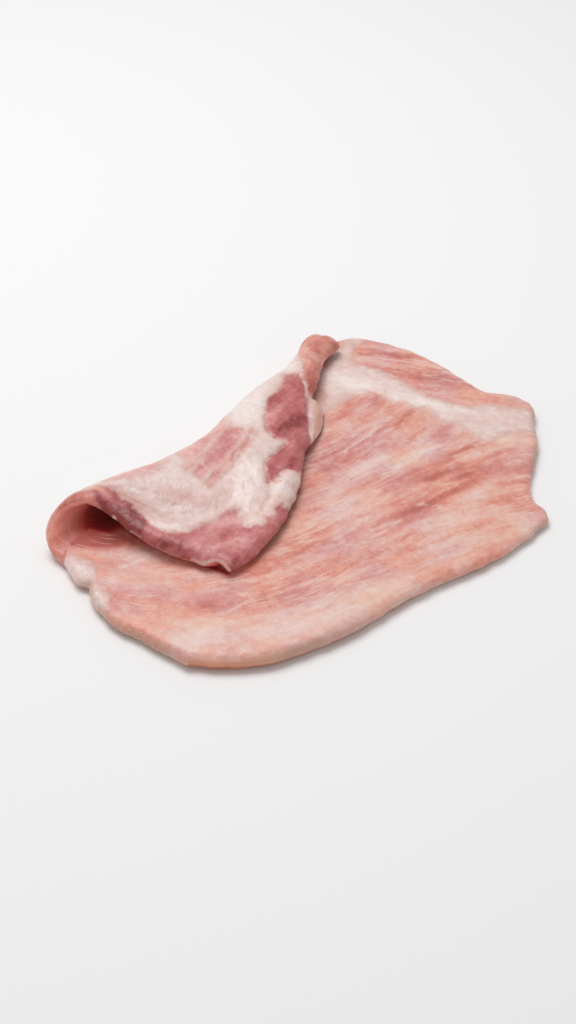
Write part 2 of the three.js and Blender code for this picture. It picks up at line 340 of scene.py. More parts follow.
class Sheet:
    """The middle of the sheet as a grid: rows run across it, columns along the fold."""

    def __init__(self):
        self.along = whole_blocks(stations(STEPS["along"], MEAN_LENGTH["along"], True, True))
        flat = whole_blocks(stations(STEPS["flat"], MEAN_LENGTH["flat"], True, False))
        bend = np.linspace(0, 1, STEPS["bend"] + 1)[1:-1]
        flap = whole_blocks(stations(STEPS["flap"], MEAN_LENGTH["flap"], False, True))
        self.fold_column = len(flat) - 1
        self.crest_column = self.fold_column + STEPS["bend"]
        parts = [self.flat_part(flat), self.bend_part(bend), self.flap_part(flap)]
        self.points, self.thickness, self.turned, self.chart = (
            np.concatenate([part[n] for part in parts], axis=1) for n in range(4)
        )
        self.shape = self.turned.shape
        self.rim_distance = self.distances()
        self.points[..., :2] += self.raggedness()
        self.normal = self.normals()

    def flat_part(self, v):
        outline = patch(
            rail(FRONT_RIM),
            lambda u: fold_line(lower_share(u)),
            rail([*LEFT_RIM, fold_line(LOWER_ENDS[0])]),
            rail([*BACK_RIM, fold_line(LOWER_ENDS[1])]),
        )
        plan = outline(self.along, v)
        thickness = lerp(front_thickness(self.along)[:, None], SHEET, ease(v / FRONT_REACH)[None])
        return np.dstack([plan, thickness / 2]), thickness, thickness * 0, plan

    def bend_part(self, turn):
        u, turn = self.along[:, None], turn[None]
        share = lerp(lower_share(u), upper_share(u), turn)
        angle = (turn - 0.5) * math.pi
        radius = fold_radius(share)
        plan = fold_line(share) + fold_outward(share) * (radius * np.cos(angle))[..., None]
        height = SHEET / 2 + radius * (1 + np.sin(angle))
        thickness = lerp(SHEET, fold_thickness(share), ease(turn))
        top = upper_share(u)
        unrolled = (1 - turn) * math.pi * fold_radius(top)
        chart = fold_line(top) + fold_outward(top) * unrolled[..., None]
        return np.dstack([plan, height]), thickness, turn + u * 0, chart

    def flap_part(self, w):
        outline = patch(
            lambda u: fold_line(upper_share(u)),
            rail(FLAP_RIM),
            rail([fold_line(UPPER_ENDS[0]), *FLAP_LEFT_RIM]),
            rail([fold_line(UPPER_ENDS[1]), *FLAP_BACK_RIM]),
        )
        plan = outline(self.along, w)
        u, w = self.along[:, None], w[None]
        share = upper_share(u)
        top = SHEET / 2 + 2 * fold_radius(share)
        rest = SHEET + REST_GAP + flap_thickness(u) / 2
        height = lerp(top, rest, ease(w ** flap_drop(u)))
        thickness = lerp(fold_thickness(share), flap_thickness(u), w)
        near_rim = fade(w, NEAR_RIM, 1)
        back = plan[..., 1]
        tab = fade(back, *TAB["top"]) * fade(back, *TAB["foot"]) * near_rim
        notch = near_rim * np.exp(-(((back - NOTCH["at"]) / NOTCH["reach"]) ** 2))
        lift = near_rim * mound(plan, LIFT["at"], LIFT["reach"], LIFT["heading"])
        plan = plan + (tab * TAB["out"] - notch * NOTCH["in"])[..., None] * np.array([1, 0])
        plan = plan + (lift * LIFT["in"])[..., None] * np.array([0, 1])
        height = height - tab * TAB["drop"] + lift * (thickness * LIFT["thin"] / 2 + LIFT["up"])
        thinning = TAB["thin"] * tab + NOTCH["thin"] * notch + LIFT["thin"] * lift
        for rim in THIN_RIMS:
            share = near_rim * mound(plan, rim["at"], rim["reach"], rim["heading"])
            height = height - share * rim["drop"]
            thinning = thinning + share * rim["thin"]
        thickness = thickness * (1 - thinning)
        return np.dstack([plan, height]), thickness, thickness * 0 + 1, plan

    def walked(self, axis):
        steps = np.linalg.norm(np.diff(self.points, axis=axis), axis=2)
        start = np.zeros_like(steps.take([0], axis))
        return np.concatenate([start, np.cumsum(steps, axis)], axis)

    def past(self, column):
        """How far over the sheet each station lies beyond a column."""
        return self.across_length - self.across_length[:, [column]]

    def distances(self):
        """Distance over the sheet from each station to the nearest free rim."""
        across, along = self.walked(1), self.walked(0)
        self.across_length, self.along_length = across, along
        walked = np.minimum.reduce([across, across[:, -1:] - across, along, along[-1:] - along])
        flat = self.points[:, :self.fold_column + 1, :2]
        rim = np.concatenate([flat[0, ::-1], flat[:, 0], flat[-1]])
        level = distances_to(flat.reshape(-1, 2), rim)[0].reshape(flat.shape[:2])
        to_fold = across[:, [self.fold_column]] - across[:, :self.fold_column + 1]
        share = ease(to_fold / LEVEL_FROM)
        walked[:, :self.fold_column + 1] = lerp(walked[:, :self.fold_column + 1], level, share)
        return walked

    def raggedness(self):
        """The small unevenness of the cut rims, which fades into the sheet."""
        moves = [patchy(self.chart, RAGGED["size"], seed) for seed in (11, 15)]
        return RAGGED["by"] * np.dstack(moves) * np.exp(-self.rim_distance / RAGGED["fade"])[..., None]

    def normals(self):
        wide = np.pad(self.points, ((1, 1), (1, 1), (0, 0)), mode="edge")
        along = wide[2:, 1:-1] - wide[:-2, 1:-1]
        across = wide[1:-1, 2:] - wide[1:-1, :-2]
        normal = np.cross(along, across)
        return normal / np.linalg.norm(normal, axis=2, keepdims=True)


def fullness(depth):
    """How much of the full thickness is left at a depth of 0 to 1 into the rounded rim."""
    return np.sqrt(1 - (1 - depth) ** RIM_FULLNESS)


def loop_end(sheet):
    """1 at the loop's left mouth, where its inside is flared, and 0 away from it."""
    past_fold = sheet.past(sheet.fold_column)
    around = fade(past_fold, *LOOP_FLARE["from_fold"]) * fade(past_fold, *LOOP_FLARE["past_bend"])
    return around * fade(sheet.along_length, *LOOP_FLARE["along"])


def skins(sheet):
    """The two skins of the plain form, and how deep into the sheet from its rim they are."""
    width = sheet.thickness * lerp(RIM_WIDTH["flat"], RIM_WIDTH["flap"], sheet.turned)
    depth = np.clip(sheet.rim_distance / width, 0, 1)
    half = sheet.thickness / 2 * fullness(depth)
    flared = np.clip(sheet.rim_distance / width / (1 + LOOP_FLARE["width"] * loop_end(sheet)), 0, 1)
    inner_half = sheet.thickness / 2 * fullness(flared)
    swell = sum(mound(sheet.points[..., :2], at, reach, heading) * height
                for at, reach, heading, height in SWELLS)
    inner = sheet.points + sheet.normal * inner_half[..., None]
    outer = sheet.points - sheet.normal * (half + sheet.turned * fullness(depth) * swell)[..., None]
    outer[..., 2] = np.where((sheet.turned == 0) & (depth == 1), 0, outer[..., 2])
    return inner, outer, depth


# ---- the mesh ----

def block_loop(ids, i, j, dense_left, dense_right, on_first, on_last):
    """The outline of one coarse block, with every vertex only where its neighbour has them."""
    steps = range(BLOCK)
    left = [ids[i, j + n] for n in steps] if on_first else [ids[i, j]]
    far = [ids[i + n, j + BLOCK] for n in steps] if dense_right else [ids[i, j + BLOCK]]
    right = [ids[i + BLOCK, j + BLOCK - n] for n in steps] if on_last else [ids[i + BLOCK, j + BLOCK]]
    near = [ids[i + BLOCK - n, j] for n in steps] if dense_left else [ids[i + BLOCK, j]]
    return left + far + right + near


def dense_faces(ids, first, last):
    part = ids[:, first:last + 1]
    quads = np.stack([part[:-1, :-1], part[1:, :-1], part[1:, 1:], part[:-1, 1:]], -1)
    return quads.reshape(-1, 4).tolist()


def coarse_faces(ids, first, last):
    """Blocks over the columns first to last, which meet dense cells or a rim on all sides."""
    rows = ids.shape[0] - 1
    return [
        block_loop(ids, i, j, j == first, j + BLOCK == last, i == 0, i + BLOCK == rows)[::-1]
        for i in range(0, rows, BLOCK)
        for j in range(first, last, BLOCK)
    ]


def slab_faces(sheet):
    """Faces over both skins. The skins' corners are numbered apart, and meet at the rim."""
    rows, columns = sheet.shape
    inner = np.arange(rows * columns).reshape(rows, columns)
    outer = inner + rows * columns
    fold, crest, last = sheet.fold_column, sheet.crest_column, columns - 1
    faces = dense_faces(inner, 0, crest)
    faces += coarse_faces(inner, crest, last)
    turned_over = dense_faces(outer, fold, last)
    faces += [face[::-1] for face in turned_over]
    faces += [face[::-1] for face in coarse_faces(outer, 0, fold)]
    shared = np.concatenate([inner.ravel(), outer.ravel()])
    rim = np.zeros(sheet.shape, bool)
    rim[[0, -1]] = True
    rim[:, [0, -1]] = True
    shared[outer[rim]] = inner[rim]
    return faces, shared


def build_mesh(name, sheet, inner, outer, fields):
    """The slab's mesh. Fields are pairs of grids, for the inner and the outer skin."""
    faces, shared = slab_faces(sheet)
    corners = np.concatenate([np.array(face) for face in faces])
    used, vertex_of = np.unique(shared[corners], return_inverse=True)
    places = np.concatenate([inner.reshape(-1, 3), outer.reshape(-1, 3)])[used] * MM
    sizes = np.array([len(face) for face in faces])
    ends = np.cumsum(sizes)
    loops = [vertex_of[end - size:end].tolist() for end, size in zip(ends, sizes)]

    mesh = bpy.data.meshes.new(name)
    mesh.from_pydata(places.tolist(), [], loops)
    mesh.polygons.foreach_set("use_smooth", np.ones(len(loops), bool))
    for field, (inside, outside) in fields.items():
        stack = np.concatenate([inside.reshape(len(inside) * len(inside[0]), -1),
                                outside.reshape(len(outside) * len(outside[0]), -1)])[corners]
        if stack.shape[1] == 1:
            made = mesh.attributes.new(field, "FLOAT", "CORNER")
            made.data.foreach_set("value", stack.ravel().astype(np.float32))
        else:
            flat = np.hstack([stack, np.zeros((len(stack), 1))])
            made = mesh.attributes.new(field, "FLOAT_VECTOR", "CORNER")
            made.data.foreach_set("vector", flat.ravel().astype(np.float32))
    add_bake_map(mesh, sheet, corners)
    mesh.update()
    return mesh


def add_bake_map(mesh, sheet, corners):
    """A layout with the two skins side by side, for baking."""
    margin, width, height = 0.01, 0.48, 0.98
    along = sheet.along_length / sheet.along_length[-1:]
    across = sheet.across_length / sheet.across_length[:, -1:]
    inner = np.dstack([margin + width * across, margin + height * along])
    outer = inner + np.array([0.5, 0])
    places = np.concatenate([inner.reshape(-1, 2), outer.reshape(-1, 2)])[corners]
    layer = mesh.uv_layers.new(name="OFBake")
    layer.data.foreach_set("uv", places.ravel().astype(np.float32))


# ---- what shows on the slab, in pixels ----

# Outlines of fat on the flat part.
FAT_BAND = [
    (344, 336), (342, 346), (334, 354), (326, 364), (320, 376), (318, 392), (318, 402),
    (325, 412), (333, 409), (340, 404), (346, 400), (356, 396), (368, 392), (380, 393),
    (386, 398), (392, 404), (402, 403), (415, 409), (428, 410), (436, 419), (445, 424),
    (455, 424), (464, 431), (472, 434), (480, 440), (490, 441), (498, 437), (508, 434),
    (520, 432), (534, 430), (540, 418), (533, 410), (510, 407), (490, 404), (470, 406),
    (455, 404), (440, 400), (425, 395), (410, 386), (395, 378), (380, 370), (366, 366),
    (354, 362), (352, 354), (358, 346), (366, 338), (356, 333),
]
LEFT_LOBE = [
    (58, 550), (68, 552), (78, 556), (90, 562), (97, 570), (93, 578), (104, 588),
    (110, 598), (104, 612), (92, 604), (84, 592), (74, 588), (62, 576), (54, 560),
]
FLAT_FAT = [FAT_BAND, LEFT_LOBE]

# Redder (above 0) and paler zones of the flat part: centre, reach in mm, heading, strength.
# Some zones are painted shade: (97, 539) darkens the floor in the loop's mouth, (140, 632) and (160,
# 645) the left-front rim, and (307, 500) paints contact shade, with a brownish texture, beside the
# flap's right rim.
FLAT_ZONES = [
    ((430, 500), (36, 8), 37, 0.7), ((490, 468), (40, 12), 15, 0.5), ((332, 345), (12, 9), 0, 0.3),
    ((440, 470), (30, 12), 30, 0.3), ((368, 402), (22, 8), 0, 0.5), ((345, 415), (12, 6), 60, 0.4),
    ((285, 597), (55, 9), 20, 0.7), ((285, 553), (45, 12), 22, 0.4), ((440, 432), (18, 6), 50, 0.4),
    ((212, 604), (16, 9), 10, 0.6), ((140, 632), (30, 4), -38, 0.8), ((160, 612), (40, 8), 0, 0.1),
    ((320, 470), (14, 18), 60, 0.3), ((425, 376), (44, 12), -14, 1.1), ((405, 356), (20, 5), -25, 0.9),
    ((250, 575), (26, 6), 25, 0.5), ((88, 536), (34, 9), 0, 1.8), ((120, 543), (26, 7), 0, 0.6),
    ((500, 398), (20, 6), -10, 0.2), ((120, 600), (30, 8), -6, 0.4), ((250, 638), (85, 22), 12, -0.6),
    ((480, 396), (30, 6), -12, 0.3), ((97, 539), (16, 6), 0, 1.4), ((180, 640), (30, 14), 0, -0.45),
    ((330, 610), (40, 12), 28, -0.6),
    ((430, 565), (60, 10), 38, -0.4), ((474, 494), (14, 6), 20, -0.9), ((310, 560), (20, 6), 25, -0.4),
    ((424, 448), (16, 7), 45, -0.8), ((362, 470), (22, 6), 40, -0.7), ((335, 440), (18, 9), 60, 0.15),
    ((512, 438), (25, 8), 0, -0.9), ((530, 518), (20, 12), 10, -0.8), ((360, 500), (16, 7), 30, -0.6),
    ((455, 518), (25, 8), 25, -0.6), ((140, 556), (40, 6), -5, -0.5), ((396, 466), (16, 5), 40, -0.4),
    ((190, 575), (16, 6), 0, -0.4), ((345, 590), (30, 8), 30, -0.5), ((120, 575), (16, 6), 0, -0.3),
    ((307, 500), (30, 9), 78, 0.7), ((160, 645), (20, 6), -35, 0.6),
]

# Where the grain of the flat part hardly shows.
CALM = [((150, 605), (62, 52), 0, 1.1), ((270, 640), (62, 20), 14, 0.9), ((60, 560), (30, 30), 0, 0.5)]

# Single streaks of the flat part, red above 0 and pale below: path, width in mm, strength.
FLAT_STREAKS = [
    ([(395, 428), (404, 418), (413, 410)], 2.4, 0.9),
    ([(350, 450), (365, 441), (377, 432), (386, 424)], 2.2, 0.8),
    ([(410, 440), (417, 434), (425, 429)], 1.6, 0.9),
    ([(345, 462), (360, 458), (372, 450), (385, 443)], 1.8, 0.4),
    ([(405, 513), (430, 502), (455, 488), (470, 478)], 4.0, 0.5),
    ([(360, 528), (385, 518), (400, 512)], 2.5, 0.5),
    ([(430, 478), (445, 470), (460, 462)], 4.0, 0.4),
    ([(455, 478), (480, 468), (500, 462)], 4.0, 0.4),
    ([(450, 455), (470, 447), (494, 441)], 2.2, 0.6),
    ([(360, 354), (380, 353), (400, 357)], 2.0, 0.5),
    ([(255, 562), (290, 552), (330, 541)], 3.0, 0.4),
    ([(260, 596), (280, 588), (300, 583)], 3.0, 0.4),
    ([(345, 452), (350, 447), (362, 440), (376, 428)], 1.2, -0.9),
    ([(362, 455), (375, 446), (398, 433)], 1.4, -0.6),
    ([(370, 437), (380, 427), (392, 417)], 1.1, -0.8),
    ([(352, 475), (370, 466), (385, 457)], 3.0, -0.6),
    ([(395, 470), (420, 455), (440, 446)], 2.0, -0.5),
    ([(440, 470), (460, 458), (480, 452)], 1.3, -0.7),
    ([(418, 505), (440, 492), (455, 484), (470, 478)], 1.3, -0.8),
    ([(370, 530), (385, 525), (400, 520)], 1.4, -0.8),
    ([(440, 484), (460, 480), (480, 470)], 1.1, -0.6),
    ([(475, 445), (497, 436), (515, 426)], 1.3, -0.6),
    ([(120, 567), (135, 562), (150, 556)], 1.6, -0.7),
    ([(130, 557), (145, 553), (160, 552)], 1.4, -0.7),
    ([(268, 598), (280, 592), (300, 585), (330, 579)], 1.6, -0.7),
    ([(230, 612), (245, 603), (260, 596)], 1.3, -0.6),
    ([(262, 558), (280, 556), (300, 549)], 1.6, -0.5),
    ([(360, 357), (385, 359), (410, 362), (440, 368)], 1.2, -0.7),
    ([(415, 360), (435, 366), (455, 375)], 2.2, -0.6),
]

# Places of the flat part painted dark red below the lifted lip at the tip: the inner meat's deeper red,
# and painted shade in the gap.
RED_AND_SHADE_LINES = [([(203, 564), (212, 567), (220, 570), (227, 573)], 3.2, 0.6)]

# Brighter (above 0) and pinker places in the fat of the flat part; the one at (319, 397) is painted
# shade above the lip.
FLAT_WHITE_AND_SHADE = [
    ((358, 386), (34, 9), -35, 0.9), ((430, 404), (36, 6), -20, 0.7), ((348, 346), (12, 8), 0, -0.3),
    ((500, 420), (26, 9), 0, -0.3), ((319, 397), (6, 8), 0, -2.2), ((80, 568), (10, 7), -30, 0.1),
    ((98, 594), (8, 8), -50, 0.2),
]

# How orange or tan the cut face of the rim is.
WALL_ORANGE = [((215, 664), (75, 18), 0, 1.0), ((60, 570), (30, 25), 0, 0.3)]
# The entries at (145, 642) and (112, 612) darken the left rim's face: painted shade.
WALL_TAN_AND_SHADE = [
    ((310, 654), (40, 20), 20, 1.0), ((530, 412), (12, 14), 0, 0.7), ((534, 450), (10, 14), 0, 1.0),
    ((545, 515), (24, 14), 20, 0.7), ((420, 610), (60, 16), 30, 0.5), ((84, 586), (16, 10), 0, 0.8),
    ((145, 642), (30, 14), -35, 1.0), ((112, 612), (20, 14), -60, 0.5),
]

# Muscle on the flap: outline, and redness from -1 to 1.
FLAP_MUSCLES = [
    ([(178, 450), (190, 436), (206, 424), (220, 416), (227, 424), (222, 432), (212, 441),
      (204, 449), (200, 458), (190, 461), (182, 456)], -0.75),
    ([(226, 426), (234, 426), (243, 430), (241, 438), (237, 446), (229, 452), (225, 462),
      (216, 468), (208, 467), (203, 463), (208, 452), (216, 440)], -0.5),
    ([(248, 437), (251, 441), (243, 449), (237, 455), (234, 463), (227, 467), (222, 473),
      (215, 483), (208, 486), (207, 480), (215, 471), (224, 462), (232, 452), (241, 442)], -0.5),
    ([(193, 469), (200, 464), (208, 470), (204, 476), (197, 477)], -0.3),
    ([(188, 464), (193, 460), (193, 466), (186, 470)], -0.4),
    ([(250, 429), (255, 430), (253, 434), (249, 434)], -0.6),
    ([(98, 480), (112, 472), (128, 463), (140, 461), (138, 470), (130, 475), (112, 480)], -1.0),
    ([(138, 464), (150, 455), (166, 452), (160, 462), (153, 469), (144, 474), (137, 474)], -0.9),
    ([(285, 376), (281, 386), (277, 392), (270, 396), (267, 405), (266, 418), (267, 428),
      (271, 432), (275, 437), (281, 438), (289, 442), (284, 445), (277, 452), (270, 458),
      (266, 464), (267, 474), (268, 482), (272, 481), (277, 478), (281, 473), (288, 471),
      (296, 472), (304, 474), (316, 465), (316, 455), (312, 445), (309, 430), (308, 415),
      (308, 404), (306, 392), (303, 380), (298, 374)], 0.3),
    ([(135, 516), (147, 522), (155, 528), (165, 532), (180, 533), (190, 531), (200, 527),
      (205, 523), (216, 522), (226, 512), (236, 511), (240, 519), (246, 527), (262, 524),
      (266, 518), (274, 517), (277, 505), (284, 503), (290, 509), (296, 500), (312, 495),
      (300, 520), (282, 550), (268, 565), (250, 585), (232, 595), (210, 590), (185, 580),
      (160, 568), (142, 555), (126, 540), (128, 522)], 0.1),
    ([(84, 499), (91, 490), (104, 486), (116, 490), (122, 498), (130, 504), (138, 512),
      (148, 521), (146, 532), (135, 545), (118, 540), (104, 528), (92, 516), (82, 506)], 0.9),
]

# Fat that lies over that muscle.
FLAP_FAT = [
    [(277, 478), (281, 473), (288, 471), (296, 473), (306, 475), (306, 488), (300, 499),
     (293, 507), (284, 508), (281, 500), (276, 496), (271, 490), (272, 483)],
    [(244, 516), (255, 513), (266, 515), (266, 522), (256, 526), (246, 524)],
]

# Places on the flap where the salmon lean of the other side shows: the knuckle at the far
# end, and a strip along the left rim that narrows beyond the crest.
KNUCKLE = [
    (296, 330), (330, 322), (350, 335), (344, 350), (330, 362), (326, 380), (324, 396),
    (314, 400), (308, 394), (306, 382), (303, 372), (303, 361), (296, 352),
]
LEFT_END = {"depth": 9, "narrowing": 0.22}

# Redder and paler zones of the flap, and whiter and pinker ones of its fat.
# The zone at (160, 545) deepens the flap's lower rim: partly its own purple, partly painted shade where
# it meets the flat part.
FLAP_ZONES = [
    ((226, 521), (14, 6), 20, -0.9), ((125, 517), (11, 6), -35, 1.6), ((109, 499), (10, 4), -30, -0.5),
    ((274, 410), (16, 4), 60, -0.7), ((296, 422), (14, 7), 30, 0.7), ((300, 392), (14, 4), 70, 0.2),
    ((290, 455), (12, 8), 40, 0.1), ((215, 455), (12, 5), 55, 0.5), ((225, 545), (18, 4), 30, -0.6),
    ((200, 540), (12, 3), 40, -0.1), ((160, 545), (25, 6), -20, 0.7), ((232, 560), (10, 8), 40, 0.5),
    ((270, 535), (16, 5), 60, 0.2), ((102, 494), (10, 5), -30, -0.5),
    ((90, 494), (8, 6), -30, 0.5), ((286, 385), (6, 6), 60, -0.5),
    ((332, 341), (9, 8), 0, 0.4), ((316, 364), (5, 14), 0, 0.25), ((310, 355), (4, 10), 0, -0.5),
    ((313, 388), (6, 12), 0, 1.2), ((222, 560), (14, 5), -10, -0.4), ((115, 500), (12, 4), -30, -0.3),
]
# Whiter and pinker places of the flap's fat; the darker one at (185, 498) is painted shade in a hollow
# of the fat.
WHITE_FAT_AND_SHADE = [
    ((250, 408), (30, 16), 60, 0.9), ((248, 472), (18, 9), 70, 0.8), ((295, 366), (14, 7), 60, 0.8),
    ((280, 488), (8, 5), 60, 0.8), ((240, 500), (12, 7), 60, 0.5), ((165, 525), (18, 4), -10, 0.6),
    ((120, 486), (20, 4), -10, 0.3), ((200, 503), (14, 3), 30, 0.4), ((185, 498), (22, 6), -10, -1.3),
    ((150, 512), (26, 5), -20, -0.6), ((222, 494), (12, 6), 60, -0.5), ((180, 478), (30, 8), 20, 0.1),
    ((318, 418), (14, 6), 84, -1.4), ((294, 490), (8, 6), 60, -0.5), ((135, 500), (14, 5), -30, -1.0),
]

# Warm and cream lines on the flap: path, width in mm, strength.
WARM_LINES = [
    ([(270, 480), (276, 482), (281, 482)], 1.1, 0.45),
    ([(264, 460), (265, 470), (265, 478)], 1.6, 0.2),
    ([(246, 514), (253, 513), (259, 513)], 1.0, 0.3),
    ([(262, 511), (265, 502), (271, 496), (281, 498)], 3.0, 0.25),
    ([(84, 489), (94, 487), (104, 490)], 2.5, 0.4),
    ([(316, 404), (319, 416), (317, 430)], 4.0, 0.38),
]
CREAM_LINES = [
    ([(112, 519), (115, 521), (118, 524)], 1.3, 0.8),
    ([(131, 532), (136, 534), (140, 537)], 1.0, 0.5),
    ([(160, 551), (172, 556), (183, 561)], 0.8, 0.4),
    ([(185, 563), (191, 561), (197, 562), (204, 565)], 0.9, 0.7),
    ([(205, 565), (212, 562), (221, 562), (226, 567), (231, 573)], 1.0, 0.8),
    ([(190, 548), (198, 541), (209, 534)], 1.1, 0.4),
    ([(211, 548), (224, 543), (240, 538)], 1.3, 0.45),
    ([(245, 437), (232, 452), (222, 463), (206, 474)], 1.0, 0.5),
    ([(228, 425), (213, 441), (204, 450), (193, 461)], 1.2, 0.5),
    ([(304, 383), (306, 388), (308, 393)], 1.2, 0.7),
    ([(302, 366), (298, 371), (295, 377)], 1.1, 0.6),
    ([(311, 432), (313, 442), (314, 452)], 1.0, 0.7),
    ([(317, 431), (319, 440), (317, 446)], 0.9, 0.7),
]

# Creases and rolls of the flap's skin: path, width and height in mm.
CREASES = [
    ([(118, 489), (130, 493), (145, 501), (160, 507), (176, 508)], 1.7, -0.8),
    ([(155, 500), (165, 503), (176, 505)], 1.2, -0.6),
    ([(120, 494), (140, 505), (155, 512), (170, 515), (185, 514)], 1.8, -0.9),
    ([(120, 492), (140, 501), (158, 509), (175, 512), (190, 511)], 1.4, 0.5),
    ([(122, 487), (140, 490), (158, 496)], 1.5, -0.5),
    ([(140, 509), (152, 516), (165, 521), (180, 521), (200, 517), (215, 511), (225, 504),
      (235, 495)], 1.8, -0.9),
    ([(145, 514), (160, 523), (180, 526), (200, 522), (218, 515), (232, 505)], 2.2, 0.7),
    ([(250, 438), (243, 452), (237, 463), (226, 476), (212, 488)], 1.6, -0.9),
    ([(266, 415), (267, 428), (276, 438), (288, 442)], 1.6, -1.2),
    ([(287, 444), (276, 453), (266, 463), (267, 482)], 1.6, -1.2),
    ([(300, 417), (292, 420), (285, 423)], 1.3, -0.8),
    ([(284, 424), (279, 434)], 1.3, -0.8),
    ([(270, 480), (276, 481), (281, 482)], 1.2, -0.8),
    ([(310, 398), (309, 412), (310, 430), (312, 446), (308, 458)], 1.8, -2.6),
    ([(316, 430), (317, 440), (314, 452)], 1.4, -1.6),
    ([(257, 514), (251, 515), (245, 517)], 1.2, -0.9),
    ([(268, 482), (272, 490), (266, 503), (260, 514)], 1.6, -1.1),
    ([(240, 456), (246, 464), (249, 472)], 1.2, -0.6),
    ([(254, 466), (253, 478), (257, 486)], 1.2, -0.6),
    ([(236, 472), (236, 485), (232, 498)], 1.4, -0.5),
    ([(245, 487), (246, 500), (243, 510)], 1.4, -0.5),
    ([(322, 334), (322, 344), (319, 354)], 2.2, -1.6),
]

# Lumps of the flap and of the flat part: centre, reach in mm, heading, height.
LUMPS = [
    ((244, 461), (6, 3), 70, 1.1), ((241, 479), (7, 5), 60, 1.4), ((257, 469), (6, 4), 60, 1.0),
    ((262, 484), (7, 3.5), 70, 1.3), ((252, 452), (7, 4), 30, 1.1), ((262, 442), (8, 5), 20, 1.2),
    ((276, 446), (7, 3), 40, 0.9), ((250, 500), (10, 5), 70, 1.0), ((237, 503), (10, 4), 70, 0.8),
    ((288, 481), (7, 6), 50, 1.4), ((279, 488), (6, 3), 60, 1.0), ((291, 498), (6, 5), 50, 1.0),
    ((256, 519), (8, 2.5), 5, 1.2), ((222, 486), (9, 5), 50, 0.8), ((205, 500), (12, 4), 30, 0.8),
    ((318, 414), (9, 3), 84, 1.0), ((314, 434), (7, 2), 84, 1.0), ((318, 438), (5, 2), 84, 1.0),
    ((284, 412), (8, 6), 60, 0.9), ((298, 440), (8, 6), 60, 1.0), ((290, 458), (8, 6), 60, 0.9),
    ((228, 552), (9, 6), 40, 0.8), ((258, 538), (10, 6), 50, 0.8), ((165, 540), (12, 5), -20, 0.7),
    ((308, 341), (7, 8), 0, 1.5), ((330, 340), (7, 7), 0, 1.0), ((311, 358), (3, 12), 0, 1.4),
    ((305, 350), (4, 8), 0, 0.8),
]
FLAT_LUMPS = [
    ((78, 562), (9, 5), -30, 0.5), ((92, 572), (6, 5), -30, 0.3),
    ((102, 596), (8, 5), -60, 0.6),
]

# Headings of the grain at pixels of the flat part, in degrees in plan.
GRAIN = [
    ((120, 600), -7), ((160, 620), 4), ((200, 600), -3), ((200, 640), 1), ((240, 600), 26),
    ((260, 640), 12), ((280, 580), 26), ((320, 540), 26), ((340, 460), 41), ((360, 600), 34),
    ((380, 440), 49), ((380, 520), 30), ((430, 440), 43), ((430, 480), 39), ((430, 520), 22),
    ((480, 440), 21), ((480, 480), 34), ((510, 430), 29), ((510, 500), 16), ((520, 520), 5),
    ((345, 420), 65),
]
FLAP_GRAIN = 54        # heading of the grain on the flap
BACK_GRAIN = -12       # heading of the grain behind the fat band
BACK_MUSCLE = [
    (330, 320), (420, 335), (480, 370), (570, 390), (555, 410), (510, 409), (490, 406),
    (470, 409), (440, 405), (410, 393), (385, 380), (352, 370), (335, 360),
]

# How what is drawn in pixels is matched with places on the sheet.
OUTLINE_WOBBLE = {"by": 1.5, "size": 4}    # mm
GRAZING = 0.02                             # skin turned to the camera by less isn't seen
SNAP = 1.5                                 # pixels from a seen one that are still on the slab
PIXEL_ON_LEVEL = np.array([0.69, -1.07])   # millimetres a pixel, across and in depth
PIXEL_OVER_CREST = 0.8                     # millimetres a pixel beyond the crest of the fold
CREST_COLUMNS = 6                          # columns past the crest that still belong to it


class Skin:
    """One skin's places in plan as if unrolled, and the way from a pixel to such a place."""

    def __init__(self, chart, points=None, facing=None, outward=None, at_crest=None):
        self.chart = chart
        wobble = np.dstack([patchy(chart, OUTLINE_WOBBLE["size"], seed) for seed in (31, 41)])
        self.wobbly = chart + OUTLINE_WOBBLE["by"] * wobble
        self.lifted = points is not None
        if self.lifted:
            seen = facing > GRAZING
            self.pixels = to_pixels(points[seen])
            self.places = chart[seen]
            self.outward = outward[seen]
            self.at_crest = at_crest[seen]

    def at(self, pixels):
        """The places that the pixels show. Beyond the outline they go on from the nearest one."""
        pixels = np.atleast_2d(np.asarray(pixels, float))
        if not self.lifted:
            return from_pixels(pixels, TOP_OF_SHEET)[:, :2]
        gaps = np.linalg.norm(self.pixels[None] - pixels[:, None], axis=2)
        nearest = gaps.argmin(1)
        over = np.maximum(gaps.min(1) - SNAP, 0)[:, None]
        level = (pixels - self.pixels[nearest]) * PIXEL_ON_LEVEL * (over > 0)
        past_crest = self.outward[nearest] * over * PIXEL_OVER_CREST
        return self.places[nearest] + np.where(self.at_crest[nearest][:, None], past_crest, level)

    def inside(self, outline):
        """Signed distance in millimetres into an outline drawn in pixels."""
        corners = self.at(spline([*outline, outline[0]], np.linspace(0, 1, 4 * len(outline) + 1)))
        nearest, within = distances_to(self.wobbly.reshape(-1, 2), corners)
        return np.where(within, nearest, -nearest).reshape(self.chart.shape[:2])

    def inside_any(self, outlines):
        return np.maximum.reduce([self.inside(outline) for outline in outlines])

    def stroke(self, path, width):
        """A soft line of height 1 along a path drawn in pixels."""
        points = self.at(spline(path, np.linspace(0, 1, 4 * len(path))))
        nearest, _ = distances_to(self.chart.reshape(-1, 2), points)
        return np.exp(-((nearest / width) ** 2)).reshape(self.chart.shape[:2])

    def strokes(self, lines):
        return sum(self.stroke(path, width) * strength for path, width, strength in lines)

    def mounds(self, bumps):
        """The sum of soft bumps: centre in pixels, reach, heading and height."""
        return sum(mound(self.chart, self.at(at)[0], reach, heading) * height
                   for at, reach, heading, height in bumps)


SPAN = 150      # brings places in plan to about -1 to 1


def powers(plan):
    """Terms up to the third degree of a place in plan."""
    x, y = plan[..., 0] / SPAN, plan[..., 1] / SPAN
    return np.stack([x, y, x * x, x * y, y * y, x ** 3, x * x * y, x * y * y, y ** 3], -1)


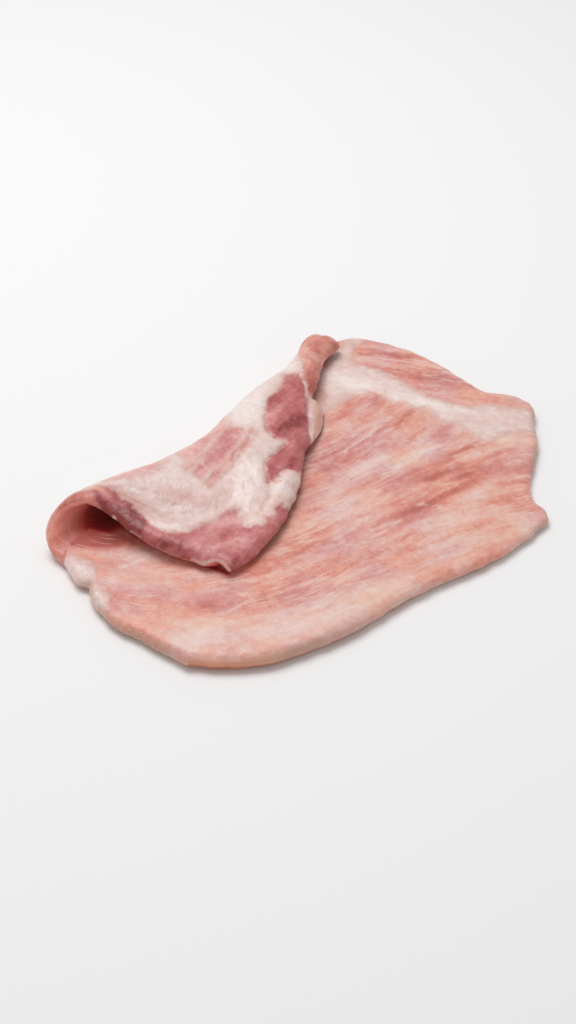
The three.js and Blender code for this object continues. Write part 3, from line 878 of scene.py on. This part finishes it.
def power_slopes(plan):
    """How those terms change along x and y."""
    x, y = plan[..., 0] / SPAN, plan[..., 1] / SPAN
    zero, one = x * 0, x * 0 + 1
    along_x = [one, zero, 2 * x, y, zero, 3 * x * x, 2 * x * y, y * y, zero]
    along_y = [zero, one, zero, x, 2 * y, zero, x * x, 2 * x * y, 3 * y * y]
    return np.stack([np.stack(along_x, -1), np.stack(along_y, -1)], -2) / SPAN


def grain_map():
    """Terms for a smooth map whose first value runs along the grain and second across it."""
    places = from_pixels([pixel for pixel, _ in GRAIN], TOP_OF_SHEET)[:, :2]
    heading = np.radians([angle for _, angle in GRAIN])
    along = np.stack([np.cos(heading), np.sin(heading)], -1)
    across = np.stack([-np.sin(heading), np.cos(heading)], -1)
    slopes = power_slopes(places)
    rows = np.concatenate([np.einsum("nk,nkt->nt", along, slopes),
                           np.einsum("nk,nkt->nt", across, slopes)])
    count = len(GRAIN)
    wanted = np.zeros((2 * count, 2))
    wanted[:count, 0] = 1
    wanted[count:, 1] = 1
    return np.linalg.lstsq(rows, wanted, rcond=None)[0]


def turned_chart(chart, heading):
    turn = math.radians(heading)
    along = chart[..., 0] * math.cos(turn) + chart[..., 1] * math.sin(turn)
    across = chart[..., 1] * math.cos(turn) - chart[..., 0] * math.sin(turn)
    return np.stack([along, across], -1)


def streaky(grain, length, width, seed, layers=3):
    """Uneven streaks along the grain, from about -1 to 1."""
    along, across = grain[..., 0], grain[..., 1]
    bent = across + 0.5 * width * noise(along / length * 1.7, across / width / 3, seed + 9)
    return rough(along / length, bent / width, seed, layers)


def row_shift(inner, outer):
    """The move that brings the sheet onto the solid's box in the row frame."""
    low, high = (np.array(corner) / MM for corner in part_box(NODE))
    lowest = np.minimum(inner.min((0, 1)), outer.min((0, 1)))
    highest = np.maximum(inner.max((0, 1)), outer.max((0, 1)))
    shift = (low + high) / 2 - (lowest + highest) / 2
    shift[2] = low[2] - lowest[2]
    return shift


def under_flap(sheet, folded):
    """How far in millimetres each place of the flat part lies inside the flap's free rims."""
    step = 6      # every sixth station is enough for this outline
    points = sheet.points[..., :2]
    places = points.reshape(-1, 2)
    bend = points[::-step, (sheet.fold_column + sheet.crest_column) // 2]
    rim = np.concatenate([points[0, sheet.fold_column::step], points[::step, -1], points[-1:, -1]])
    _, within = distances_to(places, np.concatenate([rim, bend, rim[:1]]))
    gap, _ = distances_to(places, rim)
    return np.where(within & ~folded.ravel(), gap, 0).reshape(sheet.shape)


# ---- how the marks become colour and relief ----

# Strengths of what makes the flat part redder, more orange and higher (in mm).
FLAT_TONE = {"streaks": 0.2, "fine": 0.07, "zones": 0.34, "strokes": 0.4, "patches": 0.13,
             "calm": 0.12, "inside": 0.25, "loop_wall": 0.1}
FLAT_ORANGE = {"streaks": 0.6, "patches": 0.75, "loop_wall": 0.5}
FLAT_RELIEF = {"tone": -0.35, "fat": 0.45, "fat_patches": 0.5, "waves": 0.8, "lobe": 0.7}

FAT_EDGE = {"softness": 1.3, "streaks": 1.3, "patches": 0.6}
CALMED = 0.7                               # of the streaks, in the calm zones

# Length and width in mm of the flat part's streaks, in front of and behind the fat band.
FAN_STREAKS = {"orange": (24, 8), "broad": (26, 5.5), "fine": (12, 2.4)}
BACK_STREAKS = {"broad": (34, 4.5), "fine": (16, 2.6)}
GRAIN_WANDER = {"by": 2.5, "size": 30}

# The same for the flap.
FLAP_TONE = {"salmon": 0.16, "streaks": 0.1, "patches": 0.22, "zones": 0.4}
FLAP_RELIEF = {"rolls": 0.45, "fibres": 0.14, "fat": 0.4, "lean_patches": 0.3, "fat_patches": 0.15,
               "cream": 0.6}

FRAY = {"muscle": 0.7, "salmon": 0.5, "size": 5}   # unevenness of the outlines, in mm
MUSCLE_BLEND = 1.5                         # mm over which the tones of two muscles meet
SALMON_KIND = 0.85                         # how far the knuckle's lean is salmon
UNDERSIDE_FAT = {"mean": 2, "by": 8, "size": 30}

# Lengths in mm between which the loop's inside changes: past the fold, and along it.
LOOP_WALL = (0, 16)
# Where the loop's hollow and the meat under the flap are painted deep red and dark: their own deeper
# red, and painted shade.
INSIDE_RED_AND_SHADE = {"past_fold": (-22, -2), "along": (16, 48), "covered": (0, 3), "deep": (3, 17)}
INSIDE_RED_AND_SHADE_SHARE = {"open": 0.45, "most": 0.9}    # where the flap doesn't cover, and deep inside
MOUTH = {"past_fold": (74, 62), "along": (30, 14)}
CEILING = {"past_fold": (42, 52), "from_rim": (8, 20)}
# Painted light in the loop's mouth: lengths past the fold and along it over which the inside is painted
# brighter, as if lit from the front.
PAINTED_GLOW = {"past_fold": (14, 28), "along": (38, 22)}
LOOP_GRAIN = np.array([-0.8, 0.6])         # how the grain runs on round the loop

# Shares of the rim's rounding between which its face turns warm and tan.
RIM_WARM = (0.3, 0)
RIM_TAN = {"inner": (0.6, 0.1), "outer": (0.9, 0.4)}
RIM_ORANGE = {"inner": 0.1, "outer": 0.3, "inner_share": 0.6, "outer_most": 1.2}

FLUSH = {"whole_at": 0.6, "painted_glow": 0.85}    # share of the inside's colour, deep red with painted shade, that hides the lean, and the share of painted light in the loop's mouth
COVER_FADE = 4                             # mm in from the flap's rims
WEAKER = {"inside": 0.5, "hidden": 0.8}    # relief left in the loop, and lost under the flap
NO_FAT = -8                                # a place this far in mm from any fat


def flat_grain(skin, plan, into_loop):
    """The grain's coordinates, and how it streaks: orange, broad and fine, from -1 to 1."""
    fan = powers(plan) @ grain_map() + into_loop[..., None] * LOOP_GRAIN
    wander = np.dstack([patchy(plan, GRAIN_WANDER["size"], seed) for seed in (91, 95)])
    fan = fan + GRAIN_WANDER["by"] * wander
    back = turned_chart(plan, BACK_GRAIN)
    behind = fade(skin.inside(BACK_MUSCLE), -1.5, 1.5)
    orange = streaky(fan, *FAN_STREAKS["orange"], 76)
    broad = lerp(streaky(fan, *FAN_STREAKS["broad"], 71),
                 streaky(back, *BACK_STREAKS["broad"], 72), behind)
    fine = lerp(streaky(fan, *FAN_STREAKS["fine"], 77),
                streaky(back, *BACK_STREAKS["fine"], 78), behind)
    return np.where(behind[..., None] > 0.5, back, fan), orange, broad, fine


def red_and_shade_places(sheet, skin, folded, hidden):
    """How far the loop's inside and the covered meat are painted deep red and dark, partly the inner
    meat's own deeper red and partly painted shade, and where its ceiling is.
    """
    past_fold, along = sheet.past(sheet.fold_column), sheet.along_length
    raw = fade(past_fold, *INSIDE_RED_AND_SHADE["past_fold"]) * fade(along, *INSIDE_RED_AND_SHADE["along"])
    raw = raw * np.where(folded, 1, lerp(INSIDE_RED_AND_SHADE_SHARE["open"], 1, fade(hidden, *INSIDE_RED_AND_SHADE["covered"])))
    in_mouth = fade(along, *MOUTH["along"]) * fade(past_fold, *MOUTH["past_fold"])
    ceiling = fade(past_fold, *CEILING["past_fold"]) * (1 - in_mouth)
    above = INSIDE_RED_AND_SHADE_SHARE["most"] * ceiling * fade(sheet.rim_distance, *CEILING["from_rim"])
    covered = INSIDE_RED_AND_SHADE_SHARE["most"] * fade(hidden, *INSIDE_RED_AND_SHADE["deep"])
    return np.maximum.reduce([raw, above, covered, skin.strokes(RED_AND_SHADE_LINES)]), ceiling


def paint_inner(sheet, folded, depth):
    """Colour fields and relief of the flat part's top, which runs on inside the loop."""
    skin = Skin(sheet.chart)
    plan = np.where(folded[..., None], sheet.chart[:, [sheet.fold_column]], sheet.chart)
    into_loop = np.maximum(sheet.past(sheet.fold_column), 0)
    hidden = under_flap(sheet, folded)
    grain, streaks, broad, fine = flat_grain(skin, plan, into_loop)
    loop_wall = fade(into_loop, *LOOP_WALL)

    calm = np.clip(skin.mounds(CALM), 0, 1)
    drawn = skin.mounds(FLAT_ZONES) * FLAT_TONE["zones"]
    drawn = drawn + skin.strokes(FLAT_STREAKS) * FLAT_TONE["strokes"]
    tone = (FLAT_TONE["streaks"] * broad + FLAT_TONE["fine"] * fine) * (1 - CALMED * calm)
    tone = tone + np.where(folded, FLAT_TONE["inside"], drawn)
    tone = tone + FLAT_TONE["patches"] * patchy(plan, 22, 73)
    tone = tone + FLAT_TONE["calm"] * calm * patchy(plan, 9, 75) + FLAT_TONE["loop_wall"] * loop_wall
    orange = FLAT_ORANGE["streaks"] * streaks + FLAT_ORANGE["patches"] * patchy(plan, 24, 79)
    orange = orange + FLAT_ORANGE["loop_wall"] * loop_wall
    fat = skin.inside_any(FLAT_FAT) / FAT_EDGE["softness"] + FAT_EDGE["streaks"] * fine
    fat = np.where(folded, NO_FAT, fat + FAT_EDGE["patches"] * patchy(plan, 5, 80))
    fatty = fade(fat, -1, 1)

    raw, ceiling = red_and_shade_places(sheet, skin, folded, hidden)
    # Painted light: the loop's mouth is painted brighter where light would reach in.
    painted_glow = fade(into_loop, *PAINTED_GLOW["past_fold"]) * fade(sheet.along_length, *PAINTED_GLOW["along"])
    wall_orange = RIM_ORANGE["inner"] + skin.mounds(WALL_ORANGE) * at_front(sheet)
    warm = RIM_ORANGE["inner_share"] * np.clip(wall_orange, 0, 1)
    tan = np.clip(skin.mounds(WALL_TAN_AND_SHADE), 0, 1)

    relief = (FLAT_RELIEF["tone"] * tone + FLAT_RELIEF["fat"] * fatty + skin.mounds(FLAT_LUMPS)
              + FLAT_RELIEF["fat_patches"] * fatty * patchy(plan, 6, 63)
              + FLAT_RELIEF["waves"] * patchy(plan, 60, 66) * fade(hidden, COVER_FADE, 0)
              + FLAT_RELIEF["lobe"] * fade(skin.inside(LEFT_LOBE), 0, 3) * patchy(plan, 3.5, 68))
    fields = {
        "grain": grain,
        "fat": fat,
        "tone": tone,
        "orange": orange,
        "kind": ceiling,
        "calm": calm,
        "whiteness_and_shade": skin.mounds(FLAT_WHITE_AND_SHADE),
        "warm": warm * fade(depth, *RIM_WARM) * ~folded,
        "tan": tan * fade(depth, *RIM_TAN["inner"]) * ~folded,
        # raw is the inside's deeper red with painted shade; flush mixes it in, and adds painted light
        # in the loop's mouth.
        "raw": raw,
        "flush": np.maximum(fade(raw, 0, FLUSH["whole_at"]), FLUSH["painted_glow"] * painted_glow),
    }
    relief = relief * np.where(folded, WEAKER["inside"], 1)
    return fields, relief * (1 - WEAKER["hidden"] * fade(hidden, 0, COVER_FADE))


def at_front(sheet):
    """1 beside the front rim, and 0 where the left rim is nearer."""
    return fade(sheet.along_length - sheet.across_length, -1.5, 1.5)


def seen_skin(sheet, folded, outer):
    """The flap's outer skin, with the pixels at which the camera sees it."""
    to_camera = camera_axes()[0] - sheet.points
    to_camera = to_camera / np.linalg.norm(to_camera, axis=2, keepdims=True)
    facing = np.where(folded, -(sheet.normal * to_camera).sum(2), -1)
    outward = fold_outward(upper_share(sheet.along))[:, None] + np.zeros((*sheet.shape, 1))
    columns = np.arange(sheet.shape[1])[None] + np.zeros(sheet.shape)
    return Skin(sheet.chart, outer, facing, outward, columns <= sheet.crest_column + CREST_COLUMNS)


def paint_outer(sheet, folded, depth, outer):
    """Colour fields and relief of the flap's top, which runs on round the bend below."""
    chart = sheet.chart
    skin, flat_skin = seen_skin(sheet, folded, outer), Skin(chart)

    muscle = np.stack([skin.inside(outline) for outline, _ in FLAP_MUSCLES])
    redness = np.array([flush for _, flush in FLAP_MUSCLES])[:, None, None]
    lean = muscle.max(0) + FRAY["muscle"] * patchy(chart, FRAY["size"], 81)
    lean = np.minimum(lean, -skin.inside_any(FLAP_FAT))
    beyond_crest = np.maximum(sheet.past(sheet.crest_column), 0)
    left_end = LEFT_END["depth"] - sheet.along_length - LEFT_END["narrowing"] * beyond_crest
    salmon = np.maximum(skin.inside(KNUCKLE), left_end)
    salmon = salmon + FRAY["salmon"] * patchy(chart, FRAY["size"], 82)
    below = UNDERSIDE_FAT["mean"] + UNDERSIDE_FAT["by"] * patchy(chart, UNDERSIDE_FAT["size"], 51)
    fat = np.where(folded, -np.maximum(lean, salmon), below)
    fatty = fade(fat, -1.2, 1.2)

    weights = np.exp(np.clip(muscle, -20, 4) / MUSCLE_BLEND)
    tone = (weights * redness).sum(0) / weights.sum(0) * 0.5
    kind = 1 - SALMON_KIND * fade(salmon - lean, -3, 3)
    tone = lerp(FLAP_TONE["salmon"], tone, kind)
    grain = turned_chart(chart, FLAP_GRAIN)
    tone = tone + FLAP_TONE["streaks"] * streaky(grain, 18, 3, 74)
    tone = tone + FLAP_TONE["patches"] * patchy(chart, 9, 83)
    tone = tone + FLAP_TONE["zones"] * skin.mounds(FLAP_ZONES)
    cream = skin.strokes(CREAM_LINES)

    along, across = grain[..., 0], grain[..., 1]
    relief = (FLAP_RELIEF["rolls"] * rough(along / 12, across / 8, 64) + FLAP_RELIEF["fat"] * fatty
              + FLAP_RELIEF["fibres"] * noise(along / 12, across / 2.6, 65) * (1 - fatty)
              + FLAP_RELIEF["lean_patches"] * patchy(chart, 6, 84) * (1 - fatty)
              + FLAP_RELIEF["fat_patches"] * patchy(chart, 6, 67) * fatty
              + FLAP_RELIEF["cream"] * np.clip(cream, 0, 1)
              + skin.strokes(CREASES) + skin.mounds(LUMPS))
    wall_orange = RIM_ORANGE["outer"] + flat_skin.mounds(WALL_ORANGE) * at_front(sheet)
    wall_warm = np.clip(wall_orange, 0, RIM_ORANGE["outer_most"])
    wall_tan = np.clip(flat_skin.mounds(WALL_TAN_AND_SHADE), 0, 1) * fade(depth, *RIM_TAN["outer"])
    fields = {
        "grain": grain,
        "fat": fat,
        "tone": tone,
        "orange": 0.1 + 0.3 * patchy(chart, 30, 85),
        "kind": kind,
        "whiteness_and_shade": skin.mounds(WHITE_FAT_AND_SHADE),
        "cream": cream,
        "warm": np.where(folded, skin.strokes(WARM_LINES), wall_warm),
        "tan": np.where(folded, 0, wall_tan),
    }
    return fields, relief * ease(3 * sheet.turned)


def make_slab():
    sheet = Sheet()
    inner, outer, depth = skins(sheet)
    shift = row_shift(inner, outer)
    inner, outer = inner + shift, outer + shift
    sheet.points = sheet.points + shift
    sheet.chart = sheet.chart + shift[:2]
    folded = (np.arange(sheet.shape[1]) > sheet.fold_column)[None] & np.ones(sheet.shape, bool)

    inner_fields, inner_relief = paint_inner(sheet, folded, depth)
    outer_fields, outer_relief = paint_outer(sheet, folded, depth, outer)
    steady = fullness(depth)
    inner = inner + sheet.normal * (steady * inner_relief)[..., None]
    outer = outer - sheet.normal * (steady * outer_relief)[..., None]
    none = np.zeros(sheet.shape)
    fields = {field: (inner_fields.get(field, none), outer_fields.get(field, none))
              for field in {**inner_fields, **outer_fields}}
    mesh = build_mesh("belly_slab_meat", sheet, inner, outer, fields)
    slab = bpy.data.objects.new("belly_slab_meat", mesh)
    bpy.context.scene.collection.objects.link(slab)
    return slab


slab = make_slab()
mesh = slab.data


# ---- the finish ----

def colour(red, green, blue):
    """A colour on the 0 to 255 screen scale, as light."""
    parts = [part / 255 for part in (red, green, blue)]
    light = [part / 12.92 if part <= 0.04045 else ((part + 0.055) / 1.055) ** 2.4 for part in parts]
    return (*light, 1)


class Value:
    """A value in a material's graph. Sums, products and the calls below add nodes."""

    def __init__(self, graph, socket):
        self.graph = graph
        self.socket = socket

    def __add__(self, other):
        return self.graph.math("ADD", self, other)

    def __mul__(self, other):
        return self.graph.math("MULTIPLY", self, other)

    def __abs__(self):
        return self.graph.math("ABSOLUTE", self, 0.0)

    def swing(self, amount):
        """A value around 0.5, brought to swing around 0 by that amount."""
        return (self + -0.5) * amount

    def rise(self, start, end, low=0.0, high=1.0):
        """A smooth rise from low to high between two values."""
        return self.graph.node("ShaderNodeMapRange", "Result", {
            "Value": self, "From Min": start, "From Max": end, "To Min": low, "To Max": high,
        }, interpolation_type="SMOOTHSTEP")

    def ramp(self, stops):
        """Colours at places from 0 to 1."""
        node = self.graph.nodes.new("ShaderNodeValToRGB")
        self.graph.feed(node.inputs["Fac"], self)
        elements = node.color_ramp.elements
        while len(elements) < len(stops):
            elements.new(0.5)
        for element, (place, tint) in zip(elements, stops):
            element.position = place
            element.color = colour(*tint)
        return Value(self.graph, node.outputs["Color"])

    def mix(self, a, b):
        """Colour a where this value is 0, and b where it is 1."""
        return self.graph.node("ShaderNodeMix", 2, {"Factor": self, 6: a, 7: b}, data_type="RGBA")


class Graph:
    """One material's graph, and short calls for the nodes that start a value."""

    def __init__(self, name):
        self.material = bpy.data.materials.new(name)
        self.material.use_nodes = True
        self.nodes = self.material.node_tree.nodes

    def feed(self, socket, value):
        if isinstance(value, Value):
            self.material.node_tree.links.new(value.socket, socket)
        else:
            socket.default_value = value

    def node(self, kind, output, inputs, **settings):
        """An output of a new node, with its settings and inputs given."""
        made = self.nodes.new(kind)
        for setting, value in settings.items():
            setattr(made, setting, value)
        for socket, value in inputs.items():
            self.feed(made.inputs[socket], value)
        return Value(self, made.outputs[output])

    def math(self, operation, a, b):
        return self.node("ShaderNodeMath", 0, {0: a, 1: b}, operation=operation)

    def attribute(self, name, output="Fac"):
        return self.node("ShaderNodeAttribute", output, {}, attribute_name=name)

    def place(self):
        return self.node("ShaderNodeTexCoord", "Object", {})

    def stretched(self, grain, length, width):
        """Coordinates in which a pattern of size 1 becomes that long and wide."""
        scale = (1 / length, 1 / width, 1)
        return self.node("ShaderNodeVectorMath", 0, {0: grain, 1: scale}, operation="MULTIPLY")

    def noise(self, vector, scale, detail=2, roughness=0.5, distortion=0):
        return self.node("ShaderNodeTexNoise", "Fac", {
            "Vector": vector, "Scale": scale, "Detail": detail, "Roughness": roughness,
            "Distortion": distortion,
        })

    def cells(self, vector, scale):
        """Distance to the nearest of many scattered points."""
        return self.node("ShaderNodeTexVoronoi", "Distance", {"Vector": vector, "Scale": scale})

    def bump(self, height, distance):
        inputs = {"Strength": 1.0, "Distance": distance, "Height": height}
        return self.node("ShaderNodeBump", "Normal", inputs)


PINK_TONES = [
    (0.0, (236, 212, 207)), (0.3, (229, 191, 185)), (0.5, (222, 165, 159)),
    (0.7, (212, 138, 132)), (1.0, (184, 99, 93)),
]
ORANGE_TONES = [
    (0.0, (240, 212, 199)), (0.3, (234, 189, 171)), (0.5, (232, 168, 149)),
    (0.7, (222, 142, 124)), (1.0, (196, 106, 90)),
]
MUSCLE_TONES = [
    (0.0, (236, 186, 178)), (0.25, (221, 156, 151)), (0.5, (202, 120, 119)),
    (0.75, (183, 92, 91)), (1.0, (138, 46, 42)),
]
FAT_TONES = [(0.0, (214, 168, 158)), (0.5, (232, 204, 196)), (1.0, (248, 234, 229))]
WARM_TONES = [(0.0, (236, 194, 172)), (0.5, (230, 162, 128)), (1.0, (206, 110, 68))]
# Colours of the loop's inside: the light end is painted light in the loop's mouth, the dark end the
# inner meat's deeper red with painted shade.
INSIDE_TONES = [
    (0.0, (250, 158, 145)), (0.4, (206, 80, 74)), (0.7, (156, 32, 28)), (1.0, (120, 12, 8)),
]
TAN = colour(196, 154, 134)
CREAM = colour(238, 206, 194)
# Colour of the pale specks: partly fat, partly painted glints of the wet surface.
FLECK_AND_GLINT = colour(250, 232, 224)

# Length and width in mm of what follows the grain, and scale per metre of what doesn't.
GRAINED = {"streak": (14, 2.6), "fibre": (7, 0.8), "vein": (60, 6.5)}
SCALE = {"veined": 55, "blotch": 210, "fleck_and_glint": 320, "pebble": 380, "grit": 1100}
CALM_GRAIN = 0.25         # what is left of the streaks and fibres in the calm zones
TONE_SWING = {"streak": 0.36, "fibre": 0.1, "blotch": 0.6}
BUMP = {"streak": 0.32, "fibre": 0.08, "blotch": 0.9, "pebble": 0.6, "grit": 0.16}
BUMP_DEPTH = 0.0008       # metres
SKIN_DEPTH = 0.003        # metres that light reaches into the meat
SKIN_RADIUS = (1.0, 0.4, 0.3)


def patterns(graph):
    """The patterns that colours and bump share, each around 0.5."""
    grain = graph.attribute("grain", "Vector")
    place = graph.place()
    along = {name: graph.stretched(grain, *size) for name, size in GRAINED.items()}
    grainy = graph.attribute("calm").rise(0, 1, 1, CALM_GRAIN)
    streak = graph.noise(along["streak"], 1, 3, 0.6, 0.6)
    return {
        "place": place,
        "grainy": grainy,
        "streak": streak.swing(grainy) + 0.5,
        "fibre": graph.noise(along["fibre"], 1, 2, 0.6, 0.3),
        "vein": graph.noise(along["vein"], 1, 2, 0.5, 0.3),
        "veined": graph.noise(place, SCALE["veined"]),
        "grit": graph.noise(place, SCALE["grit"]),
        "blotch": graph.noise(place, SCALE["blotch"], 4, 0.6),
    }


def lean_colour(graph, seen):
    """Salmon lean with pale veins, and the darker muscle of the flap."""
    kind = graph.attribute("kind")
    tone = graph.attribute("tone") + 0.5 + seen["streak"].swing(TONE_SWING["streak"])
    tone = tone + seen["fibre"].swing(TONE_SWING["fibre"]) * seen["grainy"]
    tone = tone + seen["blotch"].swing(TONE_SWING["blotch"])
    orange = graph.attribute("orange").rise(-0.6, 0.5)
    salmon = orange.mix(tone.ramp(PINK_TONES), tone.ramp(ORANGE_TONES))
    ridge = abs(seen["vein"] + -0.5).rise(0.0, 0.06, 1, 0)
    veins = ridge * seen["veined"].rise(0.44, 0.62, 0.0, 0.55) * kind.rise(0.0, 0.12, 1, 0)
    return kind.mix(veins.mix(salmon, CREAM), tone.ramp(MUSCLE_TONES))


def fat_colour(graph, seen):
    """The fat's colour, and how much of it shows, with an uneven edge."""
    fat = graph.attribute("fat")
    # Pallor of the fat; where it is lowered it is also painted shade, above the lip and in a hollow of
    # the flap's fat.
    pallor = graph.attribute("whiteness_and_shade") * 0.4 + 0.5 + seen["blotch"].swing(0.9)
    pallor = pallor + fat.rise(0, 6, -0.3, 0.05)
    edge = fat + seen["streak"].swing(3) + seen["blotch"].swing(3)
    return pallor.ramp(FAT_TONES), edge.rise(-2.0, 1.8)


def marked(graph, seen, body):
    """The body's colour with warm and tan walls (the tan partly painted shade on the left rim), cream
    lines, pale specks that are partly fat and partly painted glints, and the inside's deep red, partly
    painted shade, with painted light in the loop's mouth.
    """
    warm, blotch = graph.attribute("warm"), seen["blotch"]
    body = warm.rise(0, 0.6, 0, 0.9).mix(body, warm.ramp(WARM_TONES))
    body = (graph.attribute("tan") * 0.8).mix(body, TAN)
    cream = graph.attribute("cream") + blotch * 0.6
    body = cream.rise(0.5, 1.2, 0, 0.7).mix(body, CREAM)
    # Pale specks: partly fat granules, partly painted glints of the wet surface.
    flecks_and_glints = graph.cells(seen["place"], SCALE["fleck_and_glint"]).rise(0.12, 0.24, 0.45, 0)
    flecks_and_glints = flecks_and_glints * (blotch + graph.attribute("calm") * 0.05).rise(0.54, 0.64)
    flecks_and_glints = flecks_and_glints * graph.attribute("kind").rise(0, 1, 1, 0.6)
    # The inside's colour: deeper red with painted shade in the hollow, painted light in the loop's
    # mouth.
    inside = graph.attribute("raw").ramp(INSIDE_TONES)
    return (graph.attribute("flush") * 0.95).mix(flecks_and_glints.mix(body, FLECK_AND_GLINT), inside)


def fine_bump(graph, seen, fatty):
    """Fine relief, with less grain on fat and small pebbles on the calm fat."""
    lines = seen["streak"] * BUMP["streak"] + seen["fibre"] * BUMP["fibre"] * seen["grainy"]
    height = lines * fatty.rise(0, 1, 1.0, 0.15) + seen["blotch"] * BUMP["blotch"]
    pebbles = graph.cells(seen["place"], SCALE["pebble"]) * (fatty * graph.attribute("calm"))
    height = height + pebbles * BUMP["pebble"] + seen["grit"] * BUMP["grit"]
    return graph.bump(height, BUMP_DEPTH)


def raw_belly():
    graph = Graph("raw_belly")
    seen = patterns(graph)
    raw, calm = graph.attribute("raw"), graph.attribute("calm")
    tallow, fatty = fat_colour(graph, seen)
    body = fatty.mix(lean_colour(graph, seen), tallow)
    normal = fine_bump(graph, seen, fatty)
    finish = {
        "Base Color": marked(graph, seen, body),
        "Roughness": seen["blotch"].rise(0.3, 0.7, 0.34, 0.5) + raw * 0.3,
        "Subsurface Weight": 0.3,
        "Subsurface Radius": SKIN_RADIUS,
        "Subsurface Scale": SKIN_DEPTH,
        "Coat Weight": raw.rise(0, 1, 0.25, 0) * calm.rise(0, 1, 1, 0.4),
        "Coat Roughness": 0.12,
        "Normal": normal,
        "Coat Normal": normal,
    }
    for name, value in finish.items():
        graph.feed(graph.nodes["Principled BSDF"].inputs[name], value)
    return graph.material


mesh.materials.append(raw_belly())
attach(slab, "root")
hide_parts(NODE)


# ---- stage ----

def make_floor():
    size, grey, dullness = 6.0, 0.92, 0.9
    mesh = bpy.data.meshes.new("floor")
    corners = [(-size, -size, 0), (size, -size, 0), (size, size, 0), (-size, size, 0)]
    mesh.from_pydata(corners, [], [(0, 1, 2, 3)])
    material = bpy.data.materials.new("pale_floor")
    material.use_nodes = True
    shader = material.node_tree.nodes["Principled BSDF"]
    shader.inputs["Base Color"].default_value = (grey, grey, grey, 1)
    shader.inputs["Roughness"].default_value = dullness
    mesh.materials.append(material)
    floor = bpy.data.objects.new("floor", mesh)
    bpy.context.scene.collection.objects.link(floor)


def make_light(name, azimuth, elevation, distance, size, power):
    """A square area light that faces the slab. Angles are in degrees, lengths in metres."""
    light = bpy.data.lights.new(name, "AREA")
    light.size = size
    light.energy = power
    turn, tilt = math.radians(azimuth), math.radians(elevation)
    level = math.cos(tilt)
    back = Vector((math.sin(turn) * level, -math.cos(turn) * level, math.sin(tilt)))
    lamp = bpy.data.objects.new(name, light)
    lamp.location = back * distance
    lamp.rotation_euler = back.to_track_quat("Z", "Y").to_euler()
    bpy.context.scene.collection.objects.link(lamp)


def make_world(strength):
    world = bpy.data.worlds.new("studio")
    world.use_nodes = True
    world.node_tree.nodes["Background"].inputs["Color"].default_value = (1, 1, 1, 1)
    world.node_tree.nodes["Background"].inputs["Strength"].default_value = strength
    bpy.context.scene.world = world


def make_camera():
    place, _, _, back = camera_axes()
    data = bpy.data.cameras.new("camera")
    data.lens = LENS
    data.sensor_width = SENSOR
    data.clip_start = 0.01
    camera = bpy.data.objects.new("camera", data)
    camera.location = Vector(place) * MM
    camera.rotation_euler = Vector(back).to_track_quat("Z", "Y").to_euler()
    bpy.context.scene.collection.objects.link(camera)
    bpy.context.scene.camera = camera


make_floor()
make_light("overhead", azimuth=222, elevation=70, distance=2.0, size=1.3, power=22.8)
make_world(strength=0.5)
make_camera()
bpy.context.scene.view_settings.view_transform = "Standard"
